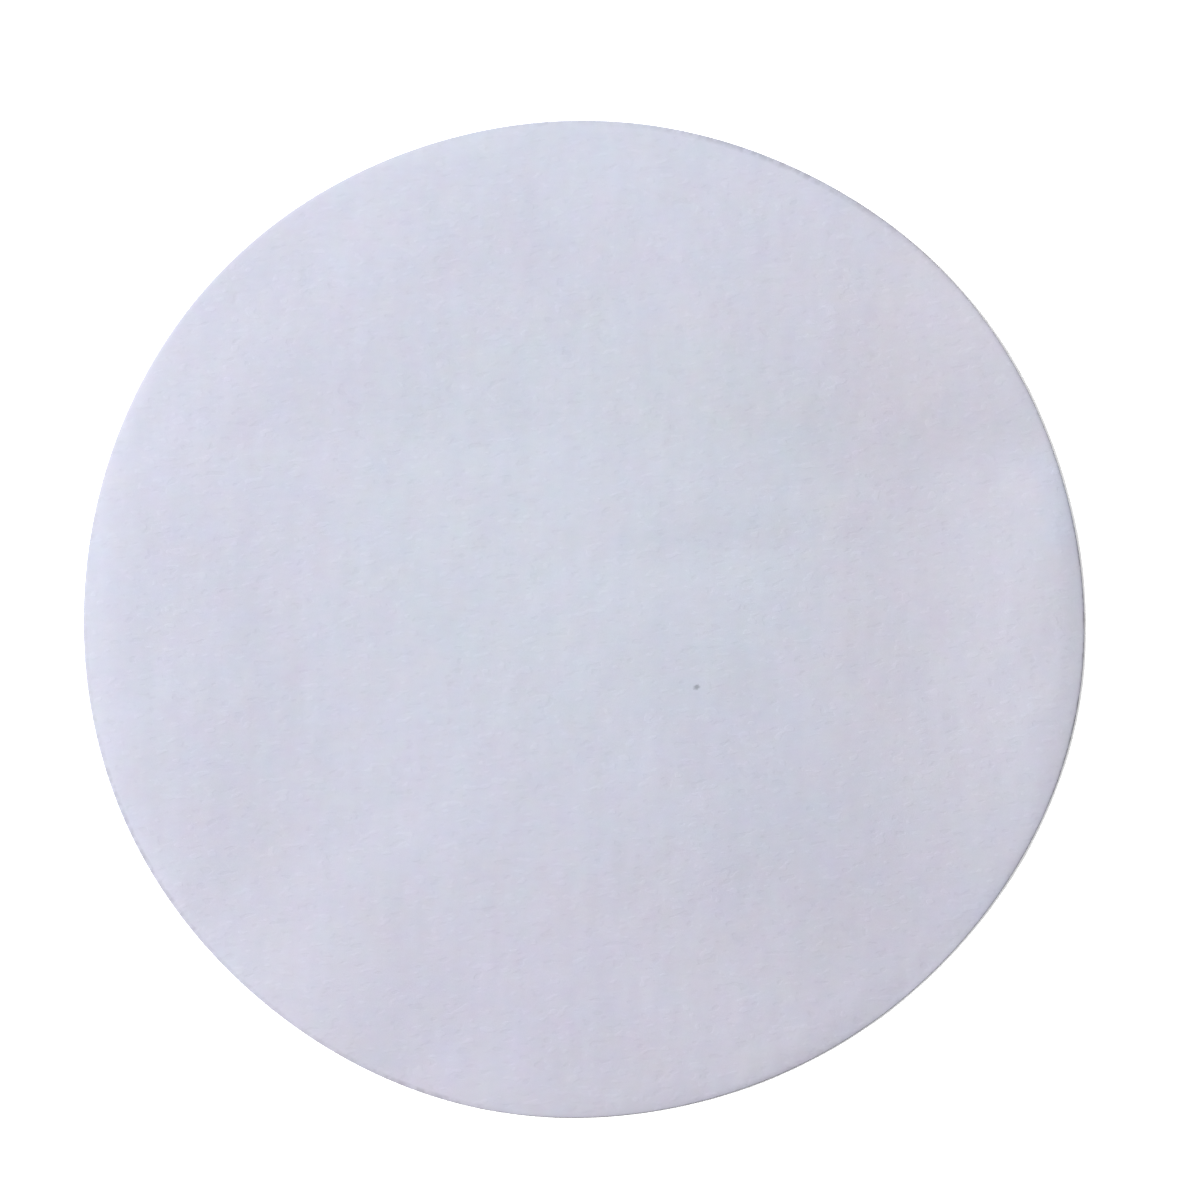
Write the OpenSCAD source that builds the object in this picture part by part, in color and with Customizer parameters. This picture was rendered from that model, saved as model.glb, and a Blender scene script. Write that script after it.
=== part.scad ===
// Filter paper disc: one round sheet of soft white paper, stamped out with a ring die.
// The sheet is a band of even thickness turned about Z. It lies flat in the middle,
// lifts a little towards the border, and rolls down to the bench at the cut edge,
// because the die draws the fibres down as it goes through. The die also presses
// the sheet thinner beside the cut.
// Millimetres. +Z is up. The origin is the centre of the underside.

/* [Sheet] */
// Diameter across the cut edge
disc_d = 110; // [70:1:240]
// Thickness of the paper
sheet_t = 0.18; // [0.16:0.01:0.5]

/* [Border] */
// Width of the border that lifts clear of the bench, counted in from the cut edge
border_w = 26; // [16:0.5:30]
// Height that the underside lifts to, at the crest of the border
crest_lift = 0.3; // [0.02:0.01:0.6]
// Width of the roll-down, from the crest out to the cut edge
roll_w = 6; // [3:0.1:9]

/* [Cut edge] */
// Radius of the top corner, pressed round by the die
top_corner_r = 0.08; // [0.02:0.01:0.08]
// Radius of the bottom corner, where the cut comes out
foot_corner_r = 0.03; // [0.01:0.01:0.03]
// How much thinner the die presses the sheet, at the cut
press_depth = 0.03; // [0.01:0.01:0.03]
// Width of the pressed band, counted in from the cut edge
press_w = 0.4; // [0.2:0.05:1]

/* [Quality] */
// Straight steps in each long arc of the section
arc_steps = 14; // [6:1:30]
// Straight steps in each corner of the cut edge, and in the pressed band
corner_steps = 5; // [3:1:8]
// Facets round the disc in previews
round_fn = 180; // [72:4:360]

/* [Hidden] */
disc_r = disc_d / 2;
flat_r = disc_r - border_w;        // the middle inside this lies on the bench
crest_r = disc_r - roll_w;         // the border is highest here
foot_r = disc_r - foot_corner_r;   // the border meets the bench again here
press_r = disc_r - press_w;        // the die presses the sheet outside this
top_r = disc_r - top_corner_r;     // the top face ends and its corner starts here
rise_w = crest_r - flat_r;

// Height of a circular arc at a distance x from where it leaves a level line,
// for an arc that has climbed h by the distance w.
function arc_height(x, w, h) =
    let (arc_r = (w * w + h * h) / (2 * h))
    arc_r - sqrt(arc_r * arc_r - x * x);

// Height of the underside above the bench at radius r: level in the middle, an
// S of two equal arcs up to the crest, and one arc down to the cut edge.
function underside_z(r) =
    r <= flat_r ? 0 :
    r <= flat_r + rise_w / 2 ? arc_height(r - flat_r, rise_w / 2, crest_lift / 2) :
    r <= crest_r ? crest_lift - arc_height(crest_r - r, rise_w / 2, crest_lift / 2) :
    crest_lift - arc_height(r - crest_r, foot_r - crest_r, crest_lift);

// Thickness of the sheet at radius r: full, then less by a parabola in the pressed band.
function thickness(r) =
    r <= press_r ? sheet_t : sheet_t - press_depth * pow((r - press_r) / press_w, 2);

// Evenly spaced radii from r0 to r1, leaving out r0 itself.
function radii(r0, r1, steps) = [for (i = [1:steps]) r0 + (r1 - r0) * i / steps];

// Points of a corner of radius r about a centre, from angle a0 to a1.
function corner(centre, r, a0, a1) =
    [for (i = [0:corner_steps])
        let (a = a0 + (a1 - a0) * i / corner_steps)
        centre + r * [cos(a), sin(a)]];

// The band's section in the r, z half-plane, counter-clockwise from the axis:
// out along the underside, up the cut edge, and back along the top.
module sheet_section() {
    under = concat(
        [0, flat_r],
        radii(flat_r, flat_r + rise_w / 2, arc_steps),
        radii(flat_r + rise_w / 2, crest_r, arc_steps),
        radii(crest_r, foot_r, arc_steps));
    over = concat(
        [for (r = under) if (r < press_r - press_w / 8) r],
        [for (i = [0:corner_steps - 1]) press_r + (top_r - press_r) * i / corner_steps]);
    edge_top_z = underside_z(top_r) + thickness(top_r);
    polygon(concat(
        [for (r = under) [r, underside_z(r)]],
        [for (p = corner([foot_r, foot_corner_r], foot_corner_r, -90, 0)) if (p.x > foot_r) p],
        corner([top_r, edge_top_z - top_corner_r], top_corner_r, 0, 90),
        [for (i = [len(over) - 1:-1:0]) [over[i], underside_z(over[i]) + thickness(over[i])]]));
}

module paper_disc() {
    color("ghostwhite")
        rotate_extrude($fn = round_fn)
            sheet_section();
}

paper_disc();
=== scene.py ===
import math

import bpy
import numpy as np
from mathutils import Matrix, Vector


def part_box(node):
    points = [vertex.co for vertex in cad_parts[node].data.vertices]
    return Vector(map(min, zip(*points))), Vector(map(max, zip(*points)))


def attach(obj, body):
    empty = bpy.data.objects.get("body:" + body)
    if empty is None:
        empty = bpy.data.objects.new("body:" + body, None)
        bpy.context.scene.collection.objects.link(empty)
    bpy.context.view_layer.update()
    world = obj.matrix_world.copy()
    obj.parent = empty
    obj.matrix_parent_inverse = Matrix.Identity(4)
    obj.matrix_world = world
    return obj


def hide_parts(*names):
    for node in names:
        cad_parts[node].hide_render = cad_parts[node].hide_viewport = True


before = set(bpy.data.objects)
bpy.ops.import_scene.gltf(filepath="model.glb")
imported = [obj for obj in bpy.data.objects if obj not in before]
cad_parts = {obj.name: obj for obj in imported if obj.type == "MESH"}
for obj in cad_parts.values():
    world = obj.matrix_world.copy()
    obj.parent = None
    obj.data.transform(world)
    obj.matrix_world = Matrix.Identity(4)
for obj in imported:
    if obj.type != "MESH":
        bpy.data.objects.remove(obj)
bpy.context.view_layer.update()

mm = 0.001
discLow, discHigh = (np.array(corner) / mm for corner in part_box("paper_disc"))
discRadius = float(discHigh[0] - discLow[0]) / 2.0
print("frame read: disc radius %.3f mm, height %.3f mm" % (discRadius, discHigh[2]))


# a smooth mesh object from an array of points in millimetres and an array of quads
def makeMesh(name, points, quads):
    mesh = bpy.data.meshes.new(name)
    mesh.vertices.add(len(points))
    mesh.vertices.foreach_set("co", (points * mm).astype(np.float32).ravel())
    mesh.loops.add(quads.size)
    mesh.loops.foreach_set("vertex_index", quads.astype(np.int32).ravel())
    mesh.polygons.add(len(quads))
    mesh.polygons.foreach_set("loop_start", np.arange(0, quads.size, 4, dtype=np.int32))
    mesh.polygons.foreach_set("loop_total", np.full(len(quads), 4, dtype=np.int32))
    mesh.polygons.foreach_set("use_smooth", np.ones(len(quads), dtype=bool))
    mesh.update(calc_edges=True)
    mesh.validate()
    thing = bpy.data.objects.new(name, mesh)
    bpy.context.scene.collection.objects.link(thing)
    return thing


view = {
    "elevation": 84.0,        # degrees above the bench
    "frameWidth": 131.00,     # mm of bench across the picture
    "aim": (1.91, 0.96),      # mm, where the picture's middle falls on the bench
    "lens": 80.0,             # mm
    "sensor": 36.0,           # mm
    "clip": (0.01, 20.0),     # m, nearest and farthest that the camera sees
}


# the camera stands off by frameWidth x lens / sensor, so that the picture takes in frameWidth
def makeCamera(v):
    data = bpy.data.cameras.new("bench_camera")
    data.lens, data.sensor_width = v["lens"], v["sensor"]
    data.clip_start, data.clip_end = v["clip"]
    camera = bpy.data.objects.new("bench_camera", data)
    bpy.context.scene.collection.objects.link(camera)
    bpy.context.scene.camera = camera
    distance = v["frameWidth"] * v["lens"] / v["sensor"]
    tilt = math.radians(90.0 - v["elevation"])
    camera.rotation_euler = (tilt, 0.0, 0.0)
    camera.location = (
        v["aim"][0] * mm,
        (v["aim"][1] - distance * math.sin(tilt)) * mm,
        distance * math.cos(tilt) * mm,
    )


makeCamera(view)
print("camera placed")


sheet = {
    "thickness": 0.18,        # mm, as are all the lengths here
    "topCorner": 0.08,
    "footCorner": 0.03,
    "rideHeight": 0.12,       # gap under the sheet between the waves, which dip to the bench in places
    # soft waves and faint creases of damp air and handling:
    # x, y, half length, half width, turn in degrees, height
    "waves": (
        (9, -6, 34, 13, 90, 0.13),
        (-28, 1, 26, 12, 90, -0.10),
        (-47, -4, 22, 8, 90, 0.13),
        (37, -2, 34, 8, 90, -0.12),
        (50.5, 5, 10, 5, 90, 0.08),
        (50, -18, 12, 5, 90, 0.03),
        (46, 30, 14, 5, 125, 0.03),
        (-36, 34, 12, 7, 45, -0.05),
        (-26, -36, 11, 6, 45, 0.08),
        (2, -44, 9, 5, 0, 0.03),
        (0, 18.6, 60, 2.4, -1.5, -0.03),
        (18, 6.8, 15, 2, 4, -0.015),
    ),
    "rollWidth": 3.2,         # the border rolls down to the cut edge over this width
    # where the roll is wider or narrower: degrees round from +X, half width in degrees, extra width
    "rollSpots": (
        (184, 20, 3.2), (352, 15, 1.3), (45, 28, -1.6), (155, 12, -0.3), (306, 11, 1.8),
    ),
    # where the cut edge itself stays off the bench: degrees round, half width in degrees, height
    "edgeLifts": (
        (33, 20, 0.12), (90, 16, 0.05), (135, 16, 0.06), (205, 12, 0.06), (250, 16, 0.09),
    ),
    "pressDepth": 0.03,       # the die presses the sheet this much thinner at the cut
    "pressWidth": 0.40,
    # painted shade along the cut edge, in spots, for the thin dark line of shade there: degrees round,
    # half width in degrees, share darker and how far in it reaches
    "edgeShadeSpots": (
        (35, 18, 0.07, 0.40), (66, 16, 0.17, 0.75), (102, 18, 0.05, 0.50), (165, 12, 0.04, 0.40),
        (186, 24, 0.06, 0.50), (210, 18, 0.15, 0.55), (240, 12, 0.08, 0.50), (252, 7, 0.15, 0.55),
        (296, 10, 0.10, 0.60), (355, 20, 0.36, 0.25),
    ),
    # painted light and shade: places drawn paler or darker, standing in for the shading of the
    # sheet's waves, creases, lip and rolled rim, and partly for the paper's own cloudiness:
    # x, y, half length, half width, turn in degrees, share lighter
    "shades": {
        "pale_middle": (-2, 6, 17, 8.5, 0, 0.02),
        "dull_right_of_middle": (13, -8, 8, 6, 0, -0.014),
        "dull_right_foot": (22, -29, 26.5, 11, 5, -0.045),
        "dull_right": (29, 21, 13, 9.5, 0, -0.036),
        "dull_top": (-20, 27, 11, 6, 0, -0.02),
        "dull_left": (-37, -20, 14.5, 6, 65, -0.03),
        "dull_left_middle": (-36, 2, 4, 5, 0, -0.018),
        "pale_left_low": (-42, -11, 7, 5, 90, 0.01),
        "pale_left": (-43.5, 25, 14, 5.5, 60, 0.045),
        "pale_left_rim": (-52, -8, 8.5, 2.5, 90, 0.025),
        "dull_crease_left": (-35, 24, 15.5, 5, 0, -0.02),
        "pale_crease": (-14, 16, 36, 3, -1, 0.01),
        "dull_crease_right": (37, 19, 14.5, 3.5, -3, -0.012),
        "dull_second_crease": (14, 8, 17, 2.2, 4, -0.025),
        "pale_over_crease": (26, 12, 9, 3, 0, 0.02),
        "pale_second_crease": (15, 3, 8.5, 3, 18, 0.025),
        "dull_under_top": (-6, 40, 11, 7, 20, -0.022),
        "pale_top_left": (-27, 43, 7, 5, 0, 0.022),
        "pale_top": (5, 44, 6, 5, 0, 0.02),
        "pale_top_right": (21, 48, 7, 3.5, -25, 0.02),
        "pale_left_foot": (-43, -33, 17, 4, -53, 0.04),
        "pale_foot_left": (-29, -40, 8, 6, -45, 0.035),
        "pale_foot_streak": (-20.5, -25, 10, 3.5, 32, 0.03),
        "pale_foot_lump": (-13, -49, 6, 5, 0, 0.04),
        "dull_foot_left": (-19, -46, 7, 5, 50, -0.055),
        "dull_foot": (2, -48.5, 9, 5, 0, -0.03),
        "dull_foot_right": (27, -37, 9, 6, 30, -0.018),
        "dull_foot_rim": (29.6, -43.9, 8, 1.5, 34, -0.035),
        "pale_foot_right_rim": (37.2, -39.9, 9, 0.9, 43, 0.10),
        "pale_right_foot_edge": (48, -24.5, 9, 1.4, 63, 0.035),
        "pale_right_edge": (50.9, 18.5, 5, 1.2, 110, 0.045),
        "dull_left_foot_rim": (-41, -34.4, 5, 1.5, -50, -0.03),
        "dull_top_left_rim": (-49.7, 18.1, 6, 1.6, 70, -0.03),
        "pale_foot": (14, -38, 6, 6, 0, 0.018),
        "pale_lip": (48.5, 6.5, 12.5, 7.5, 90, 0.045),
        "pale_lip_top": (50, 13.8, 4.5, 4, 0, 0.05),
        "dull_over_lip": (47, 20.5, 7, 3.5, -5, -0.03),
        "dull_left_rim": (-48.5, -1, 11, 2.5, 90, -0.015),
        "pale_left_band": (-44, -8, 26, 4, 90, 0.014),
        "pale_lip_foot": (47, -16, 17, 6, 100, 0.045),
        "pale_right_foot": (38, -23, 9, 4, 100, 0.02),
        "pale_right_top": (39, 35, 7, 5, -45, 0.025),
    },
    # lobes of the cut outline: how many round the disc, depth, and degrees round of one peak
    "lobes": (
        (3, 0.24, 4), (5, 0.17, -18), (4, 0.12, -25), (7, 0.10, -9), (8, 0.06, -10), (6, 0.06, 30),
    ),
    # uneven relief of the felt:
    # wavelength, height, spread of headings either side of X in degrees, seed
    "relief": (
        (18, 0.009, 90, 2),
        (9, 0.0065, 90, 3),
        (4.2, 0.0032, 90, 7),
        (2.2, 0.0014, 90, 5),
        (3.2, 0.0016, 25, 11),
    ),
    "reliefWaves": 40,        # plane waves in each band of the relief
    "stretch": (0.7, 1.45),   # least and greatest of their lengths, as shares of the band's own
    "footSeed": 100,          # the underside's seeds are this much higher than the top's
    "gridSide": 199,          # points along one side of each face's grid
    "edgeBand": 1.2,          # from the cut in to the top face's grid
    "edgeRings": 6,           # rings of points between the top face's grid and the cut's corner
    "edgeCrowding": 1.5,      # power that draws those rings towards the cut
    "topSteps": 6,            # steps round the top corner
    "footSteps": 2,           # steps round the foot corner
    "footTurn": 60.0,         # degrees that the foot corner turns in before the bottom face starts
}


# sum of bells height x exp(-(along/long)^2 - (across/wide)^2), each turned about its own middle
def bells(x, y, spots):
    total = np.zeros_like(x)
    for cx, cy, longSide, wideSide, turn, height in spots:
        c, n = math.cos(math.radians(turn)), math.sin(math.radians(turn))
        along = ((x - cx) * c + (y - cy) * n) / longSide
        across = ((y - cy) * c - (x - cx) * n) / wideSide
        total += height * np.exp(-along * along - across * across)
    return total


# sum of bells round the rim, height x exp(-((angle - middle)/half)^2), the angle taken the short way
def roundRim(angle, spots):
    total = np.zeros_like(angle)
    for middle, half, height in spots:
        off = np.degrees(np.angle(np.exp(1j * (angle - math.radians(middle)))))
        total += height * np.exp(-(off / half) ** 2)
    return total


# the underside stands off the bench by the ride height and the waves, and nears the height of the
# cut edge by the share q = (1 - e/w)^3 at e from the edge, over the roll's width w
def undersideHeight(x, y, fromEdge, angle, s):
    standOff = np.maximum(s["rideHeight"] + bells(x, y, s["waves"]), 0.0)
    width = s["rollWidth"] + roundRim(angle, s["rollSpots"])
    q = np.clip(1.0 - fromEdge / width, 0.0, 1.0) ** 3
    return standOff * (1.0 - q) + roundRim(angle, s["edgeLifts"]) * q


# radius of the cut: the disc's, less depth x (1 - cos(count x (angle - peak)))/2 for each lobe
def cutRadius(angle, s):
    radius = np.full_like(angle, discRadius)
    for count, depth, peak in s["lobes"]:
        radius -= depth * (1.0 - np.cos(count * (angle - math.radians(peak)))) / 2.0
    return radius


# random relief: plane sine waves of about one length and of random phase, headed within a spread
# either side of X, summed
def feltRelief(x, y, s, shift=0):
    total, count = np.zeros_like(x), s["reliefWaves"]
    for wavelength, height, spread, seed in s["relief"]:
        dice = np.random.default_rng(seed + shift)
        for heading, stretch, phase in zip(
            np.radians(dice.uniform(-spread, spread, count)),
            dice.uniform(*s["stretch"], count),
            dice.uniform(0.0, 2.0 * math.pi, count),
        ):
            perLength = 2.0 * math.pi / (wavelength * stretch)
            run = x * math.cos(heading) + y * math.sin(heading)
            total += height * math.sqrt(2.0 / count) * np.sin(perLength * run + phase)
    return total


# rings of the square become rings of the disc: ring = max(|u|, |v|), and the angle runs
# an eighth of a turn each way from the nearest axis, in proportion to the smaller of the two
def squareToDisc(u, v):
    nearU = np.abs(u) >= np.abs(v)
    larger = np.where(nearU, u, v)
    share = np.where(nearU, v, -u) / np.where(larger == 0.0, 1.0, larger)
    axis = np.where(nearU, 0.0, math.pi / 2.0) + np.where(larger < 0.0, math.pi, 0.0)
    return np.abs(larger), axis + share * math.pi / 4.0


# quads of a square grid of points, counter-clockwise seen from above
def gridQuads(side):
    p = np.arange(side * side).reshape(side, side)
    return np.stack([p[:-1, :-1], p[:-1, 1:], p[1:, 1:], p[1:, :-1]], axis=-1).reshape(-1, 4)


# the grid's outermost points in order, counter-clockwise seen from above
def gridRim(side):
    p = np.arange(side * side).reshape(side, side)
    return np.concatenate([p[0, :-1], p[:-1, -1], p[-1, :0:-1], p[:0:-1, 0]])


# thickness of the sheet: the full one, less depth x (1 - e/w)^2 at e from the cut in the pressed band
def pressedThickness(fromEdge, s):
    near = np.clip(1.0 - fromEdge / s["pressWidth"], 0.0, 1.0)
    return s["thickness"] - s["pressDepth"] * near ** 2


# section of the cut edge, from the top face round to the foot: inset from the cut, and height over
# the underside, along the pressed border, a quarter arc, the upright cut and the foot's arc
def edgeSection(s):
    top, foot = s["topCorner"], s["footCorner"]
    inward = np.linspace(1.0, 0.0, s["edgeRings"] + 2)[1:-1] ** s["edgeCrowding"]
    border = top + (s["edgeBand"] - top) * inward
    topTurn = np.radians(np.linspace(90.0, 0.0, s["topSteps"] + 1))
    footTurn = np.radians(np.linspace(0.0, -s["footTurn"], s["footSteps"] + 1))
    high = pressedThickness(top, s)
    inset = np.concatenate([border, top * (1.0 - np.cos(topTurn)), foot * (1.0 - np.cos(footTurn))])
    corner, cut = high - top * (1.0 - np.sin(topTurn)), foot * (1.0 + np.sin(footTurn))
    return inset, np.concatenate([pressedThickness(border, s), corner, cut])


# painted shade of the cut edge: each spot's share round the rim x (1 - (e/reach)^2) at e from the cut
def edgeShadeLayer(angle, fromEdge, spots):
    total = np.zeros((len(fromEdge), len(angle)))
    for middle, half, share, reach in spots:
        near = np.clip(1.0 - (fromEdge / reach) ** 2, 0.0, 1.0)
        total += near[:, None] * roundRim(angle, [(middle, half, share)])
    return total


# a point of the sheet, from its radius and angle: x, y and the underside's height
def placed(radius, angle, cut, s):
    x, y = radius * np.cos(angle), radius * np.sin(angle)
    return x, y, undersideHeight(x, y, cut - radius, angle, s)


# what the paper's colour reads at each point: painted shade of the cut edge, the painted light or
# shade of the place, and upper, which is 1 on the top and the cut edge and 0 underneath
def addLayers(made, points, faceSize, edgeShadeRings, s):
    edgeShade, upper = np.zeros(len(points)), np.ones(len(points))
    edgeShade[2 * faceSize:] = edgeShadeRings.ravel()
    upper[faceSize:2 * faceSize] = 0.0
    shade = bells(points[:, 0], points[:, 1], s["shades"].values())
    for name, values in (("edgeShade", edgeShade), ("shade", shade), ("upper", upper)):
        layer = made.data.attributes.new(name, "FLOAT", "POINT")
        layer.data.foreach_set("value", values.astype(np.float32))


# the closed sheet: a top face, a bottom face, and the rings of the cut edge between them
def makeSheet(s):
    side = s["gridSide"]
    faceSize = side * side
    across = np.linspace(-1.0, 1.0, side)
    u, v = (grid.ravel() for grid in np.meshgrid(across, across))
    ring, angle = squareToDisc(u, v)
    cut = cutRadius(angle, s)

    x, y, low = placed(ring * (cut - s["edgeBand"]), angle, cut, s)
    top = np.stack([x, y, low + s["thickness"] + feltRelief(x, y, s)], axis=-1)
    x, y, low = placed(ring * (cut - s["footCorner"]), angle, cut, s)
    foot = np.stack([x, y, low + np.abs(feltRelief(x, y, s, s["footSeed"]))], axis=-1)

    rim = gridRim(side)
    inset, height = edgeSection(s)
    x, y, low = placed(cut[rim] - inset[:, None], angle[rim], cut[rim], s)
    lift = height[:, None] + feltRelief(x, y, s) * (height[:, None] / s["thickness"])
    edge = np.stack([x, y, low + lift], axis=-1)

    loops = 2 * faceSize + np.arange(len(inset) * len(rim)).reshape(len(inset), len(rim))
    loops = np.concatenate([[rim], loops, [rim + faceSize]])
    inner, outer = loops[:-1], loops[1:]
    edgeQuads = np.stack([inner, outer, np.roll(outer, -1, axis=1), np.roll(inner, -1, axis=1)], axis=-1)
    points = np.concatenate([top, foot, edge.reshape(-1, 3)])
    quads = [gridQuads(side), gridQuads(side)[:, ::-1] + faceSize, edgeQuads.reshape(-1, 4)]
    made = makeMesh("paper_sheet", points, np.concatenate(quads))
    addLayers(made, points, faceSize, edgeShadeLayer(angle[rim], inset, s["edgeShadeSpots"]), s)
    return made


paperSheet = makeSheet(sheet)
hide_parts("paper_disc")
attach(paperSheet, "root")
print("sheet made: %d quads" % len(paperSheet.data.polygons))


paper = {
    "colour": (0.641, 0.651, 0.764),
    "roughness": (0.88, 0.96),    # between the fibres and on them
    "specular": 0.2,
    "sheen": 0.06,            # haze of loose fibre ends, seen from low angles
    "sheenRoughness": 0.6,
    # noises of the felt:
    # size along X and Y in mm, finer octaves and their share, height in mm, whiteness
    "felt": {
        "dashes": (1.70, 0.70, 2, 0.50, 0.0050, 0.06),
        "lumps": (1.80, 1.30, 1, 0.50, 0.0130, 0.0),
        "streaks": (1.50, 6.00, 1, 0.50, 0.0110, 0.03),
        "clouds": (4.50, 4.50, 3, 0.75, 0.0, 0.05),
    },
    "feltStart": (17.0, 5.0),     # mm, each noise begins this far from the last, so that none repeats
    # stronger marks: size along X and Y in mm, finer octaves and their share, where the noise stops
    # being calm and where it is full, height in mm, whiteness
    "marks": (1.50, 0.80, 1, 0.50, 0.11, 0.21, 0.0080, 0.02),
    "marksStart": 160.0,          # mm along Y
    # noises of the tint: size in mm, finer octaves and their share, shift of red, green and blue
    "tints": {
        "rust_to_ice": (5.0, 3, 0.80, (-0.090, 0.028, 0.068)),
        "mauve_to_mint": (4.0, 3, 0.80, (-0.020, 0.087, -0.059)),
    },
    "tintStart": (70.0, 40.0),    # mm along Y: the first, and how much further on the next
    # broad fields:
    # x, y, half length, half width, turn in degrees, softness, shift of red, green and blue
    "fields": {
        "mint_middle": (1, 10, 27, 24, 0, 0.18, (-0.018, 0.006, -0.012)),
        "mauve_right": (46, 14, 42, 20, 80, 0.20, (0.018, -0.003, -0.021)),
        "mauve_top_right": (31, 34, 14, 8, -45, 0.80, (0.012, -0.003, -0.012)),
        "mauve_top": (15, 25, 10, 10, 0, 0.50, (0.005, 0.0, -0.012)),
        "pink_foot": (4, -58, 50, 29, 0, 0.20, (0.022, -0.007, -0.014)),
        "pink_foot_left": (-37, -28, 13, 9, 0, 0.50, (0.012, -0.006, -0.006)),
        "pink_foot_right": (34, -31, 9, 7, 0, 0.50, (0.012, -0.006, -0.004)),
        "blue_foot": (-9, -43, 16, 8, 0, 0.50, (-0.006, -0.004, 0.016)),
        "ice_top": (-6, 52, 26, 7, 0, 0.90, (0.012, 0.034, 0.026)),
        # painted shade: a bluish, slightly darker band where the right rim dips
        "painted_blue_shade_lip": (52, 12, 5, 2.2, 105, 0.50, (-0.04, 0.0, 0.02)),
    },
    # noise that moves the fields' borders: size and reach in mm, finer octaves
    "fieldWarp": (5.0, 7.0, 3),
    # how uneven the painted shade of the cut edge is: size of the noise in mm, how far from 0 it
    # still counts, and the greatest and the least share of that shade
    "edgeShadeGrain": (0.7, 0.15, 1.5, 0.5),
    "fibreLength": 1.6,       # mm
    "fibreWidth": 0.16,       # mm
    "fibreHeight": 0.0012,    # mm
    "fibreEdge": 0.09,        # values of the noise that count as a fibre, either side of 0
    "fibreBend": (0.8, 0.9),  # noise that bends the fibres: size and reach in mm
    "fibreHeadings": (8, 44, 79, 117, 151),      # degrees round from X
    # the one speck: x, y, half length, half width, turn in degrees, softness
    "speck": (12.4, -8.6, 0.33, 0.24, 25, 0.6),
    "speckWarp": (0.18, 0.20),    # noise that makes it ragged: size and reach in mm
    "speckShade": 0.40,       # share darker
}


# shorthands for building a node tree: each call adds a node and gives back its output
class Shading:
    def __init__(self, tree):
        self.nodes, self.links = tree.nodes, tree.links

    def put(self, socket, value):
        if isinstance(value, bpy.types.NodeSocket):
            self.links.new(value, socket)
        else:
            socket.default_value = value

    def math(self, kind, a, b=0.0):
        node = self.nodes.new("ShaderNodeMath")
        node.operation = kind
        self.put(node.inputs[0], a)
        self.put(node.inputs[1], b)
        return node.outputs[0]

    def vector(self, kind, a, b=None, scale=None):
        node = self.nodes.new("ShaderNodeVectorMath")
        node.operation = kind
        self.put(node.inputs[0], a)
        if b is not None:
            self.put(node.inputs[1], b)
        if scale is not None:
            self.put(node.inputs["Scale"], scale)
        return node.outputs["Value" if kind == "LENGTH" else "Vector"]

    def mapped(self, place, location=(0, 0, 0), turn=0.0, scale=(1, 1, 1)):
        node = self.nodes.new("ShaderNodeMapping")
        node.vector_type = "TEXTURE"
        self.put(node.inputs["Vector"], place)
        self.put(node.inputs["Location"], location)
        self.put(node.inputs["Rotation"], (0.0, 0.0, math.radians(turn)))
        self.put(node.inputs["Scale"], scale)
        return node.outputs[0]

    def attribute(self, name):
        node = self.nodes.new("ShaderNodeAttribute")
        node.attribute_name = name
        return node.outputs["Fac"]

    # a noise about 0, from -0.5 to 0.5
    def noise(self, place, detail=0.0, roughness=0.5):
        node = self.nodes.new("ShaderNodeTexNoise")
        self.put(node.inputs["Vector"], place)
        self.put(node.inputs["Scale"], 1.0)
        self.put(node.inputs["Detail"], detail)
        self.put(node.inputs["Roughness"], roughness)
        return self.math("SUBTRACT", node.outputs["Fac"], 0.5)

    # 0 where the value lies within calm of 0, and 1 or -1 where it is full or more away
    def cored(self, value, calm, full):
        return self.math("ADD", self.ramp(value, calm, full), self.ramp(value, -full, -calm, -1.0, 0.0))

    # the place, moved by up to half the reach in X, Y and Z by a noise of that size
    def drift(self, place, size, reach, detail=0.0):
        node = self.nodes.new("ShaderNodeTexNoise")
        self.put(node.inputs["Vector"], place)
        self.put(node.inputs["Scale"], 1.0 / size)
        self.put(node.inputs["Detail"], detail)
        centred = self.vector("SUBTRACT", node.outputs["Color"], (0.5, 0.5, 0.5))
        return self.vector("ADD", place, self.vector("SCALE", centred, scale=reach))

    # a smooth step from first to last as the value goes from low to high
    def ramp(self, value, low, high, first=0.0, last=1.0):
        node = self.nodes.new("ShaderNodeMapRange")
        node.interpolation_type = "SMOOTHSTEP"
        for name, number in (("Value", value), ("From Min", low), ("From Max", high),
                             ("To Min", first), ("To Max", last)):
            self.put(node.inputs[name], number)
        return node.outputs["Result"]


# fibres: contour lines of a noise stretched along each heading, the strongest of them all; the
# heading also shifts where its noise begins, so that no two are alike
def fibreFelt(t, place, p):
    bent = t.drift(place, *p["fibreBend"])
    felt = None
    for heading in p["fibreHeadings"]:
        size = (p["fibreLength"], p["fibreWidth"], p["fibreWidth"])
        grain = t.noise(t.mapped(bent, (heading, 0.0, 0.0), heading, size))
        line = t.ramp(t.math("ABSOLUTE", grain), 0.0, p["fibreEdge"], 1.0, 0.0)
        felt = line if felt is None else t.math("MAXIMUM", felt, line)
    return felt


# 1 inside an ellipse, 0 outside: a smooth step down where the distance from its middle, in
# half lengths and half widths, goes from 1 - softness to 1 + softness; a great half height
# makes it the same at every height
def ellipseMask(t, place, x, y, halfLength, halfWidth, turn, softness, halfHeight=1000.0):
    centred = t.mapped(place, (x, y, 0.0), turn, (halfLength, halfWidth, halfHeight))
    return t.ramp(t.vector("LENGTH", centred), 1.0 - softness, 1.0 + softness, 1.0, 0.0)


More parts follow.
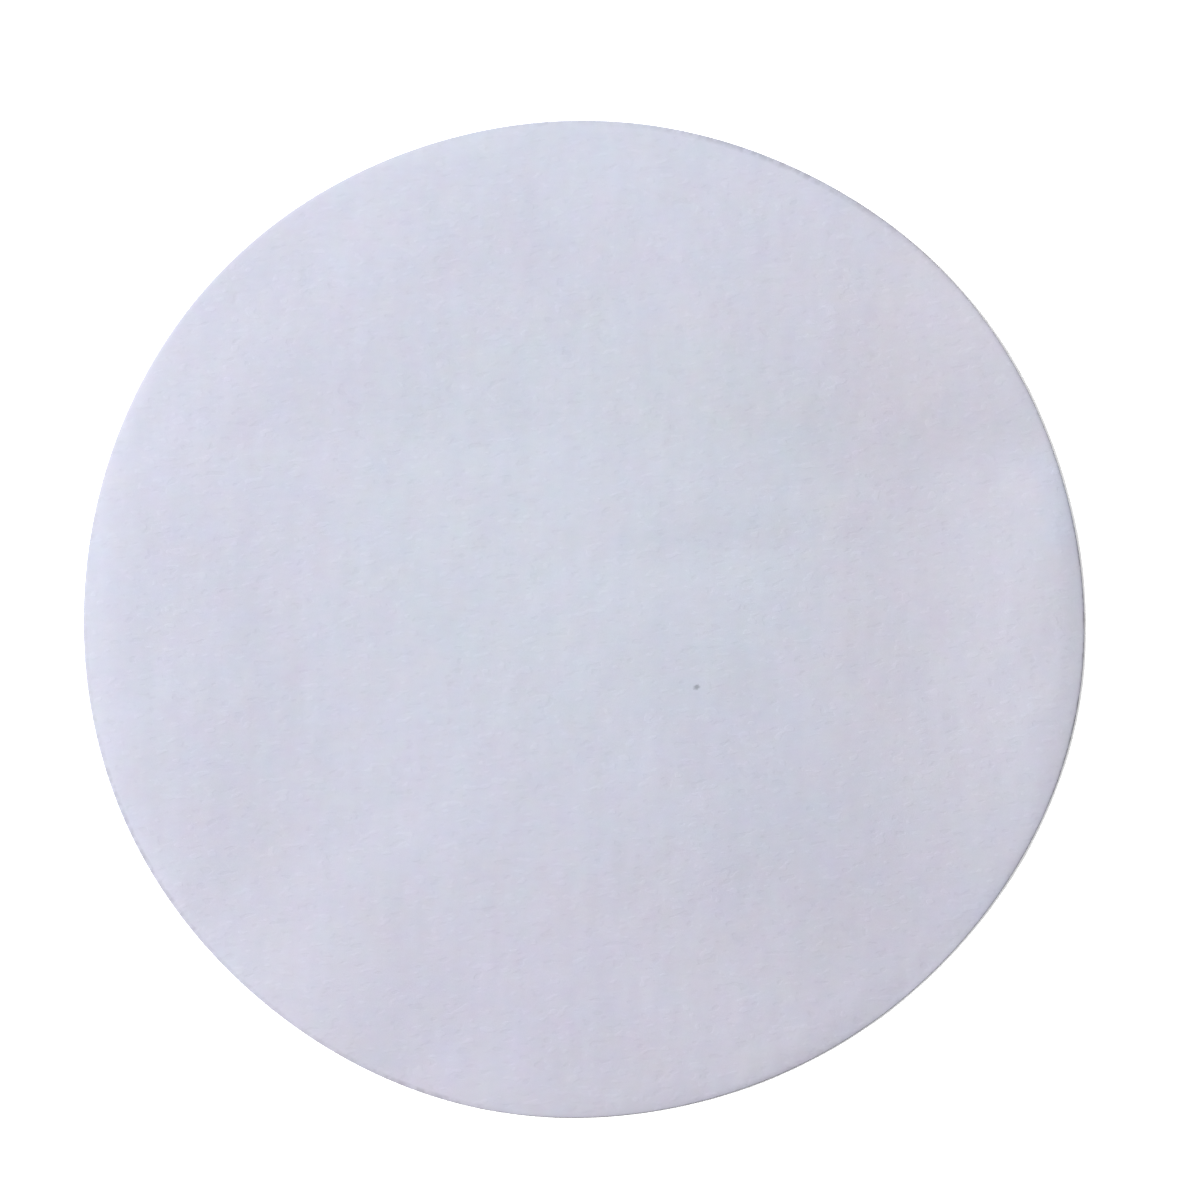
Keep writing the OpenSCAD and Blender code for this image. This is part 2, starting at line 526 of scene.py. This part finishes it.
# height of the felt, and the shift of its colour: each is the sum of the noises by their weights
def feltLayers(t, place, p):
    height, shift = 0.0, (0.0, 0.0, 0.0)
    startX, startY = p["feltStart"]
    for number, (along, across, octaves, share, tall, white) in enumerate(p["felt"].values()):
        sized = t.mapped(place, (startX * number, startY, 0.0), 0.0, (along, across, 1.0))
        grain = t.noise(sized, octaves, share)
        if tall:
            height = t.math("ADD", height, t.math("MULTIPLY", grain, tall))
        if white:
            shift = t.vector("ADD", shift, t.vector("SCALE", (white, white, white), scale=grain))
    return height, shift


# the stronger marks, added to the height and the shift of the colour
def addMarks(t, place, height, shift, p):
    along, across, octaves, share, calm, full, tall, white = p["marks"]
    sized = t.mapped(place, (0.0, p["marksStart"], 0.0), 0.0, (along, across, 1.0))
    grain = t.cored(t.noise(sized, octaves, share), calm, full)
    height = t.math("ADD", height, t.math("MULTIPLY", grain, tall))
    shift = t.vector("ADD", shift, t.vector("SCALE", (white, white, white), scale=grain))
    return height, shift


# the tints: each is a noise about 0 that shifts red, green and blue by its own weights
def addTints(t, place, shift, p):
    first, further = p["tintStart"]
    for number, (size, octaves, share, tint) in enumerate(p["tints"].values()):
        sized = t.mapped(place, (0.0, first + further * number, 0.0), 0.0, (size,) * 3)
        grain = t.noise(sized, octaves, share)
        shift = t.vector("ADD", shift, t.vector("SCALE", tint, scale=grain))
    return shift


# the broad fields, their borders made ragged by a noise, summed onto the shift of the colour
def addFields(t, place, shift, p):
    ragged = t.drift(place, *p["fieldWarp"])
    for *ellipse, tint in p["fields"].values():
        mask = ellipseMask(t, ragged, *ellipse)
        shift = t.vector("ADD", shift, t.vector("SCALE", tint, scale=mask))
    return shift


# painted light and shade of the sheet's places, and painted shade darkening the cut edge, by an
# uneven share of it
def addShades(t, place, shift, p):
    size, reach, most, least = p["edgeShadeGrain"]
    grain = t.noise(t.mapped(place, scale=(size, size, size)), 1.0)
    uneven = t.ramp(grain, -reach, reach, -most, -least)
    lighter = t.math("ADD", t.attribute("shade"), t.math("MULTIPLY", t.attribute("edgeShade"), uneven))
    return t.vector("ADD", shift, t.vector("SCALE", (1.0, 1.0, 1.0), scale=lighter))


# the speck, on the top only
def addSpeck(t, place, shift, p):
    mask = ellipseMask(t, t.drift(place, *p["speckWarp"]), *p["speck"])
    mask = t.math("MULTIPLY", mask, t.attribute("upper"))
    return t.vector("ADD", shift, t.vector("SCALE", (-p["speckShade"],) * 3, scale=mask))


def makePaper(p):
    made = bpy.data.materials.new("soft_filter_paper")
    made.use_nodes = True
    t = Shading(made.node_tree)
    shader = t.nodes["Principled BSDF"]
    shader.inputs["Specular IOR Level"].default_value = p["specular"]
    shader.inputs["Sheen Weight"].default_value = p["sheen"]
    shader.inputs["Sheen Roughness"].default_value = p["sheenRoughness"]
    metres = t.nodes.new("ShaderNodeTexCoord").outputs["Object"]
    place = t.vector("SCALE", metres, scale=1.0 / mm)

    fibres = fibreFelt(t, place, p)
    height, shift = feltLayers(t, place, p)
    height, shift = addMarks(t, place, height, shift, p)
    height = t.math("ADD", height, t.math("MULTIPLY", fibres, p["fibreHeight"]))
    shift = addTints(t, place, shift, p)
    shift = addFields(t, place, shift, p)
    shift = addShades(t, place, shift, p)
    shift = addSpeck(t, place, shift, p)
    colour = t.vector("MULTIPLY", t.vector("ADD", shift, (1.0, 1.0, 1.0)), p["colour"])
    t.links.new(colour, shader.inputs["Base Color"])
    t.links.new(t.ramp(fibres, 0.0, 1.0, *p["roughness"]), shader.inputs["Roughness"])

    bump = t.nodes.new("ShaderNodeBump")
    bump.inputs["Distance"].default_value = mm
    t.links.new(height, bump.inputs["Height"])
    t.links.new(bump.outputs[0], shader.inputs["Normal"])
    return made


paperSheet.data.materials.append(makePaper(paper))
print("paper finished")


# each lamp's share of the light on the middle of the sheet, its degrees above the bench and round
# from +X towards +Y, and its distance and width in metres
lamps = {
    "window_key": {"share": 0.66, "elevation": 28.0, "heading": 162.0, "distance": 1.25, "width": 0.40},
    "ceiling_fill": {"share": 0.20, "elevation": 75.0, "heading": 90.0, "distance": 0.32, "width": 0.20},
}
room = {
    "colour": (1.0, 1.0, 1.0),
    "share": 0.14,            # the three shares add up to 1, so a colour renders as written
    "benchReach": 1200.0,     # mm from the middle to each side
    "benchPlain": 0.8,        # how white the bench is to the light that it sends on to the sheet
    "benchGain": 2.10,        # and to what sees it directly
    "whiteFrom": 0.075,       # m from the middle: from here to the next the bench fades to plain white
    "whiteTo": 0.14,
}


# a disc lamp of power P lights a level spot with P sin(elevation) / (pi^2 d^2), so P follows
def makeLamp(name, lamp):
    up, turn, distance = math.radians(lamp["elevation"]), math.radians(lamp["heading"]), lamp["distance"]
    data = bpy.data.lights.new(name, "AREA")
    data.shape, data.size = "DISK", lamp["width"]
    data.energy = lamp["share"] * math.pi ** 2 * distance ** 2 / math.sin(up)
    made = bpy.data.objects.new(name, data)
    made.location = (
        distance * math.cos(up) * math.cos(turn),
        distance * math.cos(up) * math.sin(turn),
        distance * math.sin(up),
    )
    made.rotation_euler = (math.pi / 2.0 - up, 0.0, turn + math.pi / 2.0)
    bpy.context.scene.collection.objects.link(made)


# 1 for rays from the camera, in reflections and through glass, 0 for the light between surfaces
def seenDirectly(t):
    path = t.nodes.new("ShaderNodeLightPath")
    seen = t.math("MAXIMUM", path.outputs["Is Camera Ray"], path.outputs["Is Glossy Ray"])
    return t.math("MAXIMUM", seen, path.outputs["Is Transmission Ray"])


def mixShaders(t, factor, first, second):
    mix = t.nodes.new("ShaderNodeMixShader")
    t.put(mix.inputs[0], factor)
    t.links.new(first.outputs[0], mix.inputs[1])
    t.links.new(second.outputs[0], mix.inputs[2])
    return mix


# the room: white to what sees it directly, and dim as a light
def makeRoom(r):
    world = bpy.data.worlds.new("pale_room")
    bpy.context.scene.world = world
    world.use_nodes = True
    t = Shading(world.node_tree)
    dim = t.nodes["Background"]
    dim.inputs["Color"].default_value = (*r["colour"], 1.0)
    dim.inputs["Strength"].default_value = r["share"]
    white = t.nodes.new("ShaderNodeBackground")
    white.inputs["Color"].default_value = (1.0, 1.0, 1.0, 1.0)
    shown = mixShaders(t, seenDirectly(t), dim, white)
    t.links.new(shown.outputs[0], t.nodes["World Output"].inputs["Surface"])


# the bench: bright enough to clip to white except in the sheet's shadow, plain white further out,
# and an ordinary white to the light that it sends on
def makeBench(r):
    far = r["benchReach"]
    corners = np.array([[-far, -far, 0.0], [far, -far, 0.0], [far, far, 0.0], [-far, far, 0.0]])
    bench = makeMesh("bench_top", corners, np.array([[0, 1, 2, 3]]))
    made = bpy.data.materials.new("white_bench")
    made.use_nodes = True
    t = Shading(made.node_tree)
    t.nodes.remove(t.nodes["Principled BSDF"])
    plain, lit = (t.nodes.new("ShaderNodeBsdfDiffuse") for i in range(2))
    plain.inputs["Color"].default_value = (*(r["benchPlain"],) * 3, 1.0)
    lit.inputs["Color"].default_value = (*(r["benchGain"],) * 3, 1.0)
    white = t.nodes.new("ShaderNodeEmission")
    reach = t.vector("LENGTH", t.nodes.new("ShaderNodeTexCoord").outputs["Object"])
    shown = mixShaders(t, t.ramp(reach, r["whiteFrom"], r["whiteTo"]), lit, white)
    surface = mixShaders(t, seenDirectly(t), plain, shown)
    t.links.new(surface.outputs[0], t.nodes["Material Output"].inputs["Surface"])
    bench.data.materials.append(made)


for name, lamp in lamps.items():
    makeLamp(name, lamp)
makeRoom(room)
makeBench(room)
bpy.context.scene.view_settings.view_transform = "Standard"
print("lamps, room and bench set")
